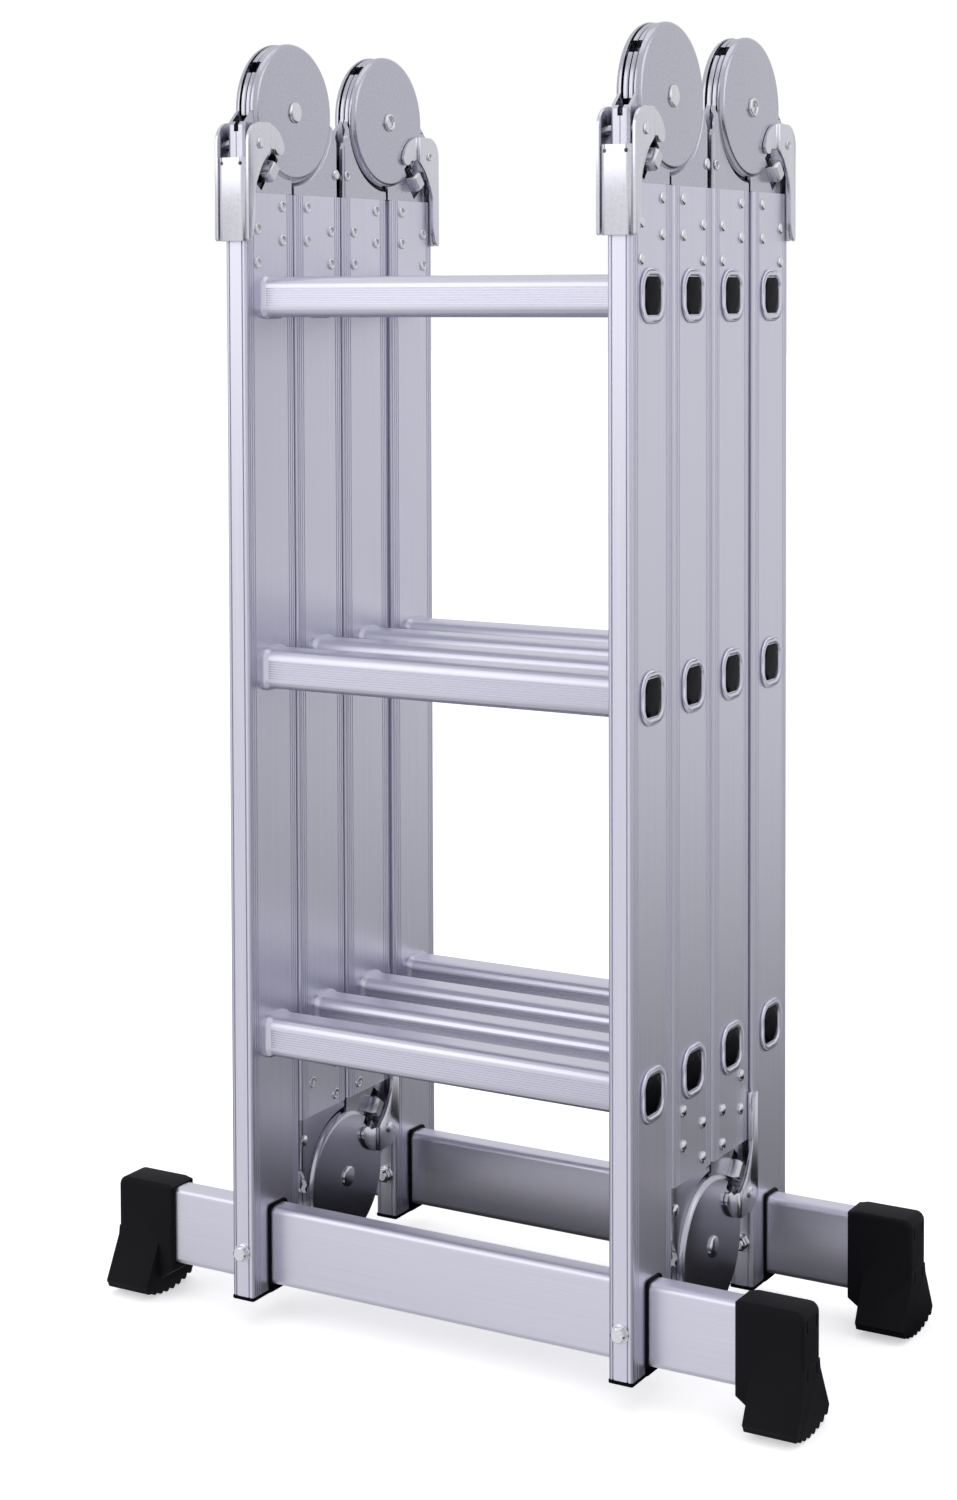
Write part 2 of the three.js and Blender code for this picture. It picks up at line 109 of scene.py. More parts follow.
def loft(rings, loop=False):
    """A closed skin over rings with the same number of points. A loop joins the last to the first."""
    bm = bmesh.new()
    rows = [[bm.verts.new(point) for point in ring] for ring in rings]
    pairs = list(zip(rows, rows[1:]))
    if loop:
        pairs.append((rows[-1], rows[0]))
    else:
        bm.faces.new(rows[0])
        bm.faces.new(rows[-1])
    for one, two in pairs:
        for i in range(len(one)):
            j = (i + 1) % len(one)
            bm.faces.new((one[i], one[j], two[j], two[i]))
    bmesh.ops.recalc_face_normals(bm, faces=bm.faces)
    mesh = bpy.data.meshes.new("shape")
    bm.to_mesh(mesh)
    bm.free()
    return mesh


def prism(outline, low, high, axis):
    place = AXES[axis]
    return loft([[place(a, b, t) for a, b in outline] for t in (low, high)])


def block(low, high):
    (x0, y0, z0), (x1, y1, z1) = low, high
    return prism([(x0, y0), (x1, y0), (x1, y1), (x0, y1)], z0, z1, "z")


def turned(profile, loop=False, segments=64, axis="x"):
    """A profile of (place along the axis, radius) turned about the axis."""
    rings = []
    for along, radius in profile:
        ring = []
        for i in range(segments):
            angle = 2 * math.pi * i / segments
            ring.append(AXES[axis](radius * math.cos(angle), radius * math.sin(angle), along))
        rings.append(ring)
    return loft(rings, loop)


def arc(centre, radius, start, end, steps):
    points = []
    for i in range(steps + 1):
        angle = math.radians(start + (end - start) * i / steps)
        points.append((centre[0] + radius * math.cos(angle), centre[1] + radius * math.sin(angle)))
    return points


def bezier(start, handle, end, steps=8):
    points = []
    for i in range(1, steps + 1):
        t = i / steps
        points.append(tuple(
            (1 - t) ** 2 * s + 2 * t * (1 - t) * h + t ** 2 * e for s, h, e in zip(start, handle, end)))
    return points


def rounded(width, height, radius, steps=6):
    """A rectangle with round corners, about the origin."""
    points = []
    for corner, (a, b) in enumerate(((1, 1), (-1, 1), (-1, -1), (1, -1))):
        centre = (a * (width / 2 - radius), b * (height / 2 - radius))
        points += arc(centre, radius, 90 * corner, 90 * corner + 90, steps)
    return points


def grooved(width, height, radius, across, upright, depth, half):
    """A rounded rectangle with grooves: `across` on the sides along the width, at those distances
    from the middle, and `upright` on the sides along the height."""
    points = []
    turns = ((0, height / 2, across), (90, width / 2, upright), (180, height / 2, across),
             (270, width / 2, upright))
    for turn, out, grooves in turns:
        reach = (width if grooves is across else height) / 2 - radius
        side = [(reach, out)]
        for place in sorted(grooves, reverse=True):
            side += [(place + half, out), (place + half / 2, out - depth)]
            side += [(place - half / 2, out - depth), (place - half, out)]
        side += [(-reach, out)]
        side += arc((-reach, out - radius), radius, 90, 180, 5)[1:-1]
        c, s = math.cos(math.radians(turn)), math.sin(math.radians(turn))
        points += [(a * c - b * s, a * s + b * c) for a, b in side]
    return points


def even_square(half, radius, count):
    """A rounded square as evenly spaced points."""
    straight = 2 * (half - radius)
    quarter = straight + math.pi * radius / 2
    guard = 1e-9                        # a point on the border of two quarters belongs to the next one
    points = []
    for i in range(count):
        turn, along = divmod(i * 4 * quarter / count + guard, quarter)
        if along < straight:
            a, b = half, along - straight / 2
        else:
            angle = (along - straight) / radius
            a = half - radius + radius * math.cos(angle)
            b = half - radius + radius * math.sin(angle)
        c, s = math.cos(turn * math.pi / 2), math.sin(turn * math.pi / 2)
        points.append((a * c - b * s, a * s + b * c))
    return points


def changed(mesh, kind, **settings):
    """The mesh after one modifier."""
    helper = bpy.data.objects.new("helper", mesh)
    bpy.context.scene.collection.objects.link(helper)
    modifier = helper.modifiers.new("change", kind)
    for key, value in settings.items():
        setattr(modifier, key, value)
    depsgraph = bpy.context.evaluated_depsgraph_get()
    result = bpy.data.meshes.new_from_object(helper.evaluated_get(depsgraph))
    bpy.data.objects.remove(helper)
    return result


def combined(mesh, others, operation):
    for other in others:
        tool = bpy.data.objects.new("tool", other)
        bpy.context.scene.collection.objects.link(tool)
        mesh = changed(mesh, "BOOLEAN", object=tool, operation=operation, solver="EXACT")
        bpy.data.objects.remove(tool)
    return mesh


def cut(mesh, *cutters):
    return combined(mesh, cutters, "DIFFERENCE")


def joined(mesh, *others):
    return combined(mesh, others, "UNION")


def common(mesh, other):
    return combined(mesh, [other], "INTERSECT")


def bevelled(mesh, width, segments=2, angle=40):
    return changed(
        mesh, "BEVEL", width=width, segments=segments, limit_method="ANGLE",
        angle_limit=math.radians(angle))


def moved(mesh, *matrices):
    copy = mesh.copy()
    for matrix in matrices:
        copy.transform(matrix)
    return copy


def mirrored_x(mesh):
    copy = mesh.copy()
    copy.transform(Matrix.Scale(-1, 4, Vector((1, 0, 0))))
    copy.flip_normals()
    return copy


def together(meshes):
    """Several separate solids as one mesh."""
    bm = bmesh.new()
    for mesh in meshes:
        bm.from_mesh(mesh)
    whole = bpy.data.meshes.new("shape")
    bm.to_mesh(whole)
    bm.free()
    return whole


# ---- Materials -------------------------------------------------------------------------------------

NOISE_DETAIL = 5.0
NOISE_SPAN = (0.3, 0.7)                 # the part of the noise over which the colour changes
RELIEF_DEPTH = 0.0001


def textured(name, colour, roughness, spread, scale, bump, metallic, tone=0.04, specular=0.5):
    """A material whose colour, roughness and relief follow one noise. `scale` is the noise's scale
    along X, Y and Z per metre: a small number draws the grain out into lines along that direction."""
    material = bpy.data.materials.new(name)
    material.use_nodes = True
    nodes = material.node_tree.nodes
    links = material.node_tree.links
    shader = nodes["Principled BSDF"]
    shader.inputs["Metallic"].default_value = metallic
    shader.inputs["Specular IOR Level"].default_value = specular
    place = nodes.new("ShaderNodeTexCoord")
    mapping = nodes.new("ShaderNodeMapping")
    mapping.inputs["Scale"].default_value = scale
    noise = nodes.new("ShaderNodeTexNoise")
    noise.inputs["Scale"].default_value = 1.0
    noise.inputs["Detail"].default_value = NOISE_DETAIL
    ramp = nodes.new("ShaderNodeValToRGB")
    dark, light = ramp.color_ramp.elements
    dark.position, light.position = NOISE_SPAN
    dark.color = [max(c * (1 - tone), 0) for c in colour] + [1]
    light.color = [min(c * (1 + tone), 1) for c in colour] + [1]
    rough = nodes.new("ShaderNodeMapRange")
    rough.inputs["To Min"].default_value = roughness - spread
    rough.inputs["To Max"].default_value = roughness + spread
    relief = nodes.new("ShaderNodeBump")
    relief.inputs["Strength"].default_value = bump
    relief.inputs["Distance"].default_value = RELIEF_DEPTH
    links.new(place.outputs["Object"], mapping.inputs["Vector"])
    links.new(mapping.outputs["Vector"], noise.inputs["Vector"])
    links.new(noise.outputs["Fac"], ramp.inputs["Fac"])
    links.new(noise.outputs["Fac"], rough.inputs["Value"])
    links.new(noise.outputs["Fac"], relief.inputs["Height"])
    links.new(ramp.outputs["Color"], shader.inputs["Base Color"])
    links.new(rough.outputs["Result"], shader.inputs["Roughness"])
    links.new(relief.outputs["Normal"], shader.inputs["Normal"])
    return material


ALUMINIUM = (0.75, 0.745, 0.845)
OXIDE_COATED = 0.92                     # how metallic anodised aluminium is
GRAIN_ALONG_Z = (1400, 1400, 6)
GRAIN_ALONG_X = (6, 1400, 1400)
MATERIALS = {
    "stile_aluminium": textured(
        "drawn_aluminium_upright", ALUMINIUM, 0.36, 0.05, GRAIN_ALONG_Z, 0.10, OXIDE_COATED),
    "rung_aluminium": textured(
        "drawn_aluminium_rung", ALUMINIUM, 0.33, 0.05, GRAIN_ALONG_X, 0.10, OXIDE_COATED),
    "bar_aluminium": textured(
        "drawn_aluminium_bar", ALUMINIUM, 0.36, 0.05, GRAIN_ALONG_X, 0.10, OXIDE_COATED),
    "hinge_plate_steel": textured(
        "zinc_plated_sheet", (0.55, 0.55, 0.62), 0.25, 0.05, (500, 500, 500), 0.05, 1.0, tone=0.06),
    "lever_steel": textured(
        "bright_zinc_sheet", (0.74, 0.74, 0.79), 0.22, 0.05, (400, 400, 400), 0.05, 1.0),
    "lock_bar_steel": textured(
        "bright_zinc_bar", (0.66, 0.66, 0.70), 0.22, 0.06, (60, 900, 900), 0.08, 1.0),
    "rivet_steel": textured(
        "rivet_zinc", (0.78, 0.78, 0.81), 0.20, 0.06, (700, 700, 700), 0.10, 1.0, tone=0.08),
    "foot_rubber": textured(
        "moulded_rubber", (0.005, 0.005, 0.007), 0.62, 0.08, (1800, 1800, 1800), 0.35, 0.0,
        tone=0.25, specular=0.14),
    "black_plastic": textured(
        "moulded_plastic", (0.004, 0.004, 0.006), 0.14, 0.05, (1200, 1200, 1200), 0.12, 0.0,
        tone=0.2, specular=0.03),
}


def finished(mesh, slot):
    """Scales a drawn shape to metres, gives it its material and smooths what isn't a real edge."""
    mesh.transform(Matrix.Scale(MM, 4))
    mesh.materials.clear()
    mesh.materials.append(MATERIALS[slot])
    mesh.polygons.foreach_set("use_smooth", [True] * len(mesh.polygons))
    mesh.polygons.foreach_set("material_index", [0] * len(mesh.polygons))
    mesh.set_sharp_from_angle(angle=SMOOTH_ANGLE)
    mesh.update()
    return mesh


def put(name, mesh, body, place=(0, 0, 0), turn=Matrix.Identity(4), stands_for=None):
    piece = bpy.data.objects.new(name, mesh)
    bpy.context.scene.collection.objects.link(piece)
    piece.matrix_world = Matrix.Translation(Vector(place) * MM) @ turn
    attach(piece, body)
    if stands_for:
        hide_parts(stands_for)
    return piece


# ---- Camera ----------------------------------------------------------------------------------------

CAMERA_PLACE = Vector((0.9773, -1.7525, 0.7788))
CAMERA_YAW = math.radians(29.86)
CAMERA_PITCH = math.radians(-2.389)
CAMERA_ROLL = math.radians(-0.194)
CAMERA_LENS = 63.45
CAMERA_SHIFT = -0.2297                  # the photo is the lower part of a wider view
CAMERA_REACH = 60


def make_camera():
    data = bpy.data.cameras.new("camera")
    data.lens = CAMERA_LENS
    data.shift_y = CAMERA_SHIFT
    data.clip_end = CAMERA_REACH
    camera = bpy.data.objects.new("camera", data)
    bpy.context.scene.collection.objects.link(camera)
    forward = Vector((
        -math.sin(CAMERA_YAW) * math.cos(CAMERA_PITCH),
        math.cos(CAMERA_YAW) * math.cos(CAMERA_PITCH),
        math.sin(CAMERA_PITCH)))
    level = Vector((math.cos(CAMERA_YAW), math.sin(CAMERA_YAW), 0))
    upright = level.cross(forward)
    right = math.cos(CAMERA_ROLL) * level + math.sin(CAMERA_ROLL) * upright
    up = right.cross(forward)
    turn = Matrix((right, up, -forward)).transposed().to_4x4()
    camera.matrix_world = Matrix.Translation(CAMERA_PLACE) @ turn
    bpy.context.scene.camera = camera


make_camera()

# ---- Stiles ----------------------------------------------------------------------------------------

STILE_CORNER = 2.8
GROOVE_DEPTH = 1.2
GROOVE_HALF = 0.6
FACE_GROOVES = (4.0, 6.6, 9.4)          # on the wide faces, from each edge
EDGE_GROOVE = 3.8                       # on the narrow faces
BORE_EDGE = 0.8                         # corner radius inside a stile
RUNG_PLAY = 0.2                         # how much larger a rung's hole is than the rung
BAR_ROOM = 2.1                          # from the bar to the edge of its notch
NOTCH_CORNER = 4


def make_stile(bottom, takes_bar):
    wide = STILE_DEPTH / 2
    upright = [side * (wide - groove) for groove in FACE_GROOVES for side in (-1, 1)]
    narrow = STILE_WIDTH / 2 - EDGE_GROOVE
    outline = grooved(STILE_WIDTH, STILE_DEPTH, STILE_CORNER, (-narrow, narrow), tuple(upright),
                      GROOVE_DEPTH, GROOVE_HALF)
    tube = prism(outline, bottom, STILE_TOP, "z")
    bore = prism(
        rounded(STILE_WIDTH - 2 * STILE_WALL, STILE_DEPTH - 2 * STILE_WALL, BORE_EDGE, 2),
        bottom - THROUGH, STILE_TOP + THROUGH, "z")
    hole_size = 2 * RUNG_HALF + RUNG_PLAY
    hole = prism(rounded(hole_size, hole_size, RUNG_CORNER), -THROUGH, THROUGH, "x")
    cutters = [bore]
    for height in RUNG_HEIGHTS:
        cutters.append(moved(hole, Matrix.Translation((0, 0, height))))
    if takes_bar:
        half = BAR_THICKNESS / 2 + BAR_ROOM
        top = BAR_MIDDLE + BAR_HEIGHT / 2 + BAR_ROOM
        notch = rounded(2 * half, 2 * (top - bottom + THROUGH), NOTCH_CORNER)
        lowest = bottom - THROUGH
        cutters.append(prism([(y, z + lowest) for y, z in notch], -THROUGH, THROUGH, "x"))
    return finished(cut(tube, *cutters), "stile_aluminium")


# ---- Rungs -----------------------------------------------------------------------------------------

RIB_PITCH = 1.75
RIB_COUNT = 8
RIB_GROOVE_DEPTH = 0.45
RIB_GROOVE_HALF = 0.4
TUBE_OVERLAP = 0.4                      # how far the tube runs into its spread ends
FLARE_POINTS = 200
PLUG_POINTS = 96
FLARE_NARROWING = 0.99                  # a spread end is a little less deep than it is high
# Half size, corner radius and place along X, outwards from the stile's outer face, of the rings of a
# spread rung end. They form a loop that starts inside the tube.
FLARE_RINGS = [
    (13.4, 5.9, -9.0), (13.6, 7.0, -1.0), (14.1, 7.9, 0.6), (14.4, 8.4, 1.4), (15.0, 9.4, 1.85),
    (16.1, 10.8, 2.0), (17.2, 12.2, 1.8), (18.4, 13.6, 1.5), (19.2, 14.6, 1.2), (19.5, 15.0, 0.85),
    (19.2, 14.7, 0.55), (18.6, 14.2, 0.3), (18.4, 14.0, 0.02), (15.2, 8.2, 0.02), (14.6, 7.6, -9.0),
]
KNURLED_RING = 7                        # the ring whose points stand in and out by turns
KNURL_HEIGHT = 0.6
PLUG_RINGS = [
    (13.35, 5.8, -18.0), (13.55, 7.0, -1.0), (13.7, 7.4, 0.1), (12.9, 7.2, 0.7), (9.0, 4.8, 1.0),
]
# A rung swells where it enters a stile. Half size and place along X, inwards from the inner face.
SWELL_RINGS = [
    (14.6, -2.0), (16.3, -2.0), (16.4, 0.2), (16.5, 1.4), (16.3, 2.6), (15.8, 3.8), (15.2, 5.0),
    (14.9, 6.0), (14.6, 6.0),
]


def end_rings(rings, side, count):
    made = []
    for index, (half, radius, out) in enumerate(rings):
        x = STILE_OUTSIDE + out
        ring = []
        for i, (y, z) in enumerate(even_square(half, radius, count)):
            raised = KNURL_HEIGHT * (i % 2) if rings is FLARE_RINGS and index == KNURLED_RING else 0
            ring.append((side * (x + raised), y * FLARE_NARROWING, z))
        made.append(ring)
    return made


def make_rung():
    heights = tuple(RIB_PITCH * (i - (RIB_COUNT - 1) / 2) for i in range(RIB_COUNT))
    size = 2 * RUNG_HALF
    outline = grooved(size, size, RUNG_CORNER, (), heights, RIB_GROOVE_DEPTH, RIB_GROOVE_HALF)
    end = STILE_OUTSIDE + TUBE_OVERLAP
    tube = prism(outline, -end, end, "x")
    bore_outline = rounded(2 * BORE_HALF, 2 * BORE_HALF, BORE_CORNER)
    bore = prism(bore_outline, -end - THROUGH, end + THROUGH, "x")
    flares = [loft(end_rings(FLARE_RINGS, side, FLARE_POINTS), True) for side in (-1, 1)]
    swells = []
    for side in (-1, 1):
        rings = []
        for half, inwards in SWELL_RINGS:
            x = side * (STILE_OUTSIDE - STILE_WIDTH - inwards)
            rings.append([(x, y, z) for y, z in even_square(half, RUNG_CORNER, FLARE_POINTS)])
        swells.append(loft(rings, True))
    return finished(joined(cut(tube, bore), *flares, *swells), "rung_aluminium")


def make_plug(side):
    return finished(loft(end_rings(PLUG_RINGS, side, PLUG_POINTS)), "black_plastic")


# ---- Hinges ----------------------------------------------------------------------------------------

# In a hinge's own frame the axis is X, +Y points to the side of the arm that carries the lever, and
# +Z points away from the stiles. Outlines are (y, z) points.

ARM_END = -STILE_END - 14               # end of what is drawn of an arm, inside the stile
ARM_HEEL = 5.6                          # near edge of an arm, inside the stile
OUTER_SHOULDER = -12                    # height of the shoulder of the outer plates
INNER_SHOULDER = -24
SLOT_ANGLE = math.radians(-51)
LOCK_ANGLES = (40, 90, 145, 180)        # openings at which the lock bar meets a notch, in degrees
SLOT_SPAN = (43, 73.5)                  # this and the next span are distances from the axis
LOCK_BAR_SPAN = (52.2, 66.2)
LOCK_BAR_WIDTH = 10
LOCK_BAR_HALF = 16.8                    # half of its length, along X
ROUND_SEGMENTS = 112
FINE_SEGMENTS = 40                      # of rivet heads
PIN_SEGMENTS = 32
HOLE_SEGMENTS = 24
SHEET_REACH = 140                       # how far out an arm's sheet is drawn before it is trimmed
PIN_HOLE = 3.3                          # radius


def slanted(low, high, half_width, half_length, angle, rounding=0.6):
    """A block along the direction `angle` in the (Y, Z) plane, from one radius to another."""
    outline = rounded(high - low, 2 * half_width, rounding, 3)
    shape = prism([(a + (low + high) / 2, b) for a, b in outline], -half_length, half_length, "x")
    return moved(shape, Matrix.Rotation(angle, 4, "X"))


def arm_outline(side, shoulder):
    """An arm reaches up into the disc, and out to its far edge at the height of the shoulder."""
    mouth = -STILE_END + GAP
    near_edge = (1.6, -34)
    rim = (51, 0)
    points = [(near_edge[0], mouth), near_edge]
    points += bezier(near_edge, (8, -20), (26, -4))
    points += [rim]
    points += bezier(rim, (ARM_EDGE - 6, shoulder * 0.5), (ARM_EDGE, shoulder), 8)
    points += [(ARM_EDGE, ARM_END), (ARM_HEEL, ARM_END), (ARM_HEEL, mouth)]
    return [(side * a, b) for a, b in points]


def make_arm(side, shoulder, sheet, lip):
    """The sheet of an arm, with its far edge turned in until |x| = lip."""
    outline = prism(arm_outline(side, shoulder), -THROUGH, THROUGH, "x")
    bend = 2.8
    fold_start = ARM_EDGE - 7
    flat_end = ARM_EDGE - 5             # from fold_start to here the two parts overlap
    overlap = 0.03                      # keeps the faces of the two solids from lying in one plane
    face = ARM_FACE + overlap
    inside = ARM_FACE - SHEET - overlap
    section = [(lip, ARM_EDGE)] + arc((face - bend, ARM_EDGE - bend), bend, 90, 0, 6)
    section += [(face, fold_start), (inside, fold_start), (inside, ARM_EDGE - SHEET)]
    section += [(lip, ARM_EDGE - SHEET)]
    turned_edge = prism([(x, side * y) for x, y in section], ARM_END + 1, THROUGH, "z")
    flat = cut(common(outline, sheet), edge_strip(side, flat_end))
    return joined(flat, common(turned_edge, outline))


def edge_strip(side, start):
    """What lies beyond `start` on an arm's side."""
    low, high = sorted((side * start, side * (ARM_EDGE + THROUGH)))
    return block((-THROUGH, low, ARM_END - THROUGH), (THROUGH, high, THROUGH))


def make_outer_plates():
    bend = 4.2
    inner_bend = bend - SHEET
    sheet_start = DISC_RADIUS - 1.2     # inside the rim, so that the arm joins the disc
    centre = (DISC_RADIUS - bend, DISC_FACE - bend)
    dish = [(DISC_FACE, PIVOT_HOLE)]
    dish += [(x, r) for r, x in arc(centre, bend, 90, 0, 10)]
    dish += [(RIM_EDGE, DISC_RADIUS), (RIM_EDGE, DISC_RADIUS - SHEET)]
    dish += [(x, r) for r, x in arc(centre, inner_bend, 0, 90, 6)]
    dish += [(DISC_FACE - SHEET, PIVOT_HOLE)]
    inside = ARM_FACE - SHEET
    sheet_profile = [(inside, sheet_start), (ARM_FACE, sheet_start), (ARM_FACE, SHEET_REACH),
                     (inside, SHEET_REACH)]
    sheet = turned(sheet_profile, True, ROUND_SEGMENTS)
    # The turned edges of the two plates meet in the middle, with a notch at the top.
    seam_half = 0.25
    notch_half = 2
    notch_bottom = -17
    arm = make_arm(1, OUTER_SHOULDER, sheet, seam_half)
    notch = block((-notch_half, 58, notch_bottom), (notch_half, 66, THROUGH))
    slot = slanted(*SLOT_SPAN, LOCK_BAR_WIDTH / 2 + GAP, THROUGH, SLOT_ANGLE)
    pin_hole = moved(turned([(-THROUGH, PIN_HOLE), (THROUGH, PIN_HOLE)], segments=HOLE_SEGMENTS),
                     Matrix.Translation((0, LEVER_PIN[0], LEVER_PIN[1])))
    plate = joined(turned(dish, True, ROUND_SEGMENTS), arm)
    plate = cut(plate, slot, pin_hole, notch)
    return finished(together([plate, mirrored_x(plate)]), "hinge_plate_steel")


def make_inner_plates():
    radius = 51.5
    edge = 0.7
    half_gap = 0.3
    arm_start = 49                      # inside the disc, so that the two join
    step_start = 52.8
    step_length = 4
    steps = 8
    lip = 3.5
    notch_span = (43, 56)
    notch_half = LOCK_BAR_WIDTH / 2 + 0.5
    notch_corner = 1.2
    disc = [(half_gap, PIVOT_HOLE), (half_gap, radius - edge), (half_gap + edge, radius),
            (INNER_FACE - edge, radius), (INNER_FACE, radius - edge), (INNER_FACE, PIVOT_HOLE)]
    # Past the disc the plate steps outwards, so that its arm lies against the wall of the stile.
    step = ARM_FACE - INNER_FACE
    near, far = [], []
    for i in range(steps + 1):
        t = i / steps
        out = step * t * t * (3 - 2 * t)
        near.append((half_gap + out, step_start + step_length * t))
        far.append((INNER_FACE + out, step_start + step_length * t))
    profile = [(half_gap, arm_start)] + near + [(half_gap + step, SHEET_REACH), (ARM_FACE, SHEET_REACH)]
    profile += far[::-1] + [(INNER_FACE, arm_start)]
    arm = make_arm(-1, INNER_SHOULDER, turned(profile, True, ROUND_SEGMENTS), lip)
    plate = joined(turned(disc, True, ROUND_SEGMENTS), arm)
    notches = []
    for opening in LOCK_ANGLES:
        angle = SLOT_ANGLE + math.radians(opening)
        notches.append(slanted(*notch_span, notch_half, THROUGH, angle, notch_corner))
    plate = cut(plate, *notches)
    return finished(together([plate, mirrored_x(plate)]), "hinge_plate_steel")


def dome(radius, height, base):
    """A domed head that stands on x = base."""
    brim = 0.35                         # share of the height that is upright
    steps = 6
    flat = 0.02                         # radius of the flat spot on top
    profile = [(base, radius), (base + brim * height, radius)]
    for i in range(1, steps + 1):
        angle = math.radians(90 / steps * i)
        out = brim + (1 - brim) * math.sin(angle)
        profile.append((base + height * out, radius * math.cos(angle) + flat))
    return turned(profile, segments=FINE_SEGMENTS)


def ring_head(radius, height, base):
    """The rolled tail of a hollow rivet, which stands on x = base."""
    hollow = radius * 0.58
    middle = (radius + hollow) / 2
    half = (radius - hollow) / 2
    brim = 0.4                          # share of the height that is upright
    hollow_end = base - 2.2
    profile = [(base, radius)]
    for out, up in arc((0, 0), 1, 0, 180, 8):
        profile.append((base + height * (brim + (1 - brim) * up), middle + half * out))
    profile += [(hollow_end, hollow * 0.9), (hollow_end, hollow * 0.1)]
    return turned(profile, segments=FINE_SEGMENTS)


def make_pivot_rivet():
    """Domed on the -X side and rolled on the +X side."""
    radius = 5.5
    reach = DISC_FACE + GAP
    base = DISC_FACE + GAP / 2
    shank = turned([(-reach, radius), (reach, radius)], segments=FINE_SEGMENTS)
    head = mirrored_x(dome(radius=8, height=2.3, base=base))
    tail = ring_head(radius=7.2, height=2.2, base=base)
    return finished(together([shank, head, tail]), "rivet_steel")


def make_lock_bar():
    low, high = LOCK_BAR_SPAN
    bar = slanted(low, high, LOCK_BAR_WIDTH / 2, LOCK_BAR_HALF, SLOT_ANGLE, rounding=0.8)
    # Both ends are drawn in by a steep chamfer on all four sides.
    narrowing = 2.4
    chamfer_length = 2.8
    chamfer_corner = 0.9
    ends = []
    for less, half in ((narrowing, LOCK_BAR_HALF), (0, LOCK_BAR_HALF - chamfer_length)):
        ends.append((high - low - less, LOCK_BAR_WIDTH - less, half))
    rings = []
    for side in (-1, 1):
        for length, width, half in (ends if side < 0 else ends[::-1]):
            outline = rounded(length, width, chamfer_corner, 3)
            rings.append([(side * half, a, b) for a, b in outline])
    chamfered = moved(loft(rings), Matrix.Translation((0, (low + high) / 2, 0)),
                      Matrix.Rotation(SLOT_ANGLE, 4, "X"))
    return finished(common(bar, chamfered), "lock_bar_steel")


# ---- Release lever ---------------------------------------------------------------------------------

LEVER_PIN = (54, -25.5)
CHEEK = (12.7, 15.2)                    # inner and outer face, in x
COVER_FACE = 70.6
COVER_HALF = 12.4
COVER_SPAN = (-98.5, -36.5)             # lower and upper end
CHEEK_EDGE = 69.6
NOSE_INWARDS = 2.3                      # how far the nose is set in from the cheek
JOGGLE = (36.5, 40.5)                   # where it steps in, in y


def cheek_outline():
    head = CHEEK_EDGE - LEVER_PIN[0]
    tail = COVER_SPAN[0]
    points = [(CHEEK_EDGE, tail + 2), (CHEEK_EDGE, LEVER_PIN[1])]
    points += arc(LEVER_PIN, head, 0, 100, 14)[1:]
    points += bezier(points[-1], (26, -7), (18.2, -27), 12)
    points += bezier((18.2, -27), (18.5, -33.5), (24, -33.5), 5)
    points += bezier((24, -33.5), (28, -33), (30, -29.5), 5)
    points += [(39, -29)]
    points += bezier((39, -29), (42.5, -33), (46.6, -36), 5)
    points += bezier((46.6, -36), (51, -40), (55.5, -49), 6)
    points += bezier((55.5, -49), (60.8, -57), (60.5, -64), 6)
    points += [(60.3, -74)]
    points += bezier((60.3, -74), (60.5, -88), (64.5, -95), 6)
    points += bezier((64.5, -95), (66.5, tail), (CHEEK_EDGE - 1, tail), 4)
    return points


def make_cheek():
    bm = bmesh.new()
    bm.from_mesh(prism(cheek_outline(), CHEEK[0], CHEEK[1], "x"))
    steps = 8
    for i in range(steps + 1):
        place = JOGGLE[0] + (JOGGLE[1] - JOGGLE[0]) * i / steps
        bmesh.ops.bisect_plane(
            bm, geom=bm.verts[:] + bm.edges[:] + bm.faces[:], plane_co=(0, place, 0), plane_no=(0, 1, 0))
    for vertex in bm.verts:
        t = min(max((JOGGLE[1] - vertex.co.y) / (JOGGLE[1] - JOGGLE[0]), 0), 1)
        vertex.co.x -= NOSE_INWARDS * t * t * (3 - 2 * t)
    mesh = bpy.data.meshes.new("cheek")
    bm.to_mesh(mesh)
    bm.free()
    return bevelled(mesh, width=0.45, angle=55)


def make_lever():
    bend = 4.6
    sheet = 2.2
    flange_end = 62
    corner = (COVER_HALF - bend, COVER_FACE - bend)
    outer = [(COVER_HALF, flange_end)] + arc(corner, bend, 0, 90, 8)
    inner = arc(corner, bend - sheet, 90, 0, 6) + [(COVER_HALF - sheet, flange_end)]
    outline = outer + [(-x, y) for x, y in reversed(outer)]
    outline += [(-x, y) for x, y in reversed(inner)] + inner
    cover = bevelled(prism(outline, COVER_SPAN[0], COVER_SPAN[1], "z"), 0.3)
    # A small hole near each bend, with a slit up from it to the cover's end.
    hole_place = 8.2
    hole_height = -41
    hole_radius = 1.5
    slit_half = 0.3
    near, far = 60, 80                  # the cutters reach through the cover
    relief = []
    for side in (-1, 1):
        x = side * hole_place
        hole = turned([(near, hole_radius), (far, hole_radius)], segments=HOLE_SEGMENTS, axis="y")
        relief.append(moved(hole, Matrix.Translation((x, 0, hole_height))))
        relief.append(block((x - slit_half, near, hole_height), (x + slit_half, far, -30)))
    cover = cut(cover, *relief)
    cheek = make_cheek()
    return finished(together([cover, cheek, mirrored_x(cheek)]), "lever_steel")


def make_lever_pin():
    radius = 3
    base = CHEEK[1] + 0.05
    shank = turned([(-CHEEK[1], radius), (CHEEK[1], radius)], segments=PIN_SEGMENTS)
    head = mirrored_x(dome(radius=4.3, height=1.5, base=base))
    tail = ring_head(radius=3.4, height=1.3, base=base)
    parts = together([shank, head, tail])
    return finished(moved(parts, Matrix.Translation((0, LEVER_PIN[0], LEVER_PIN[1]))), "rivet_steel")


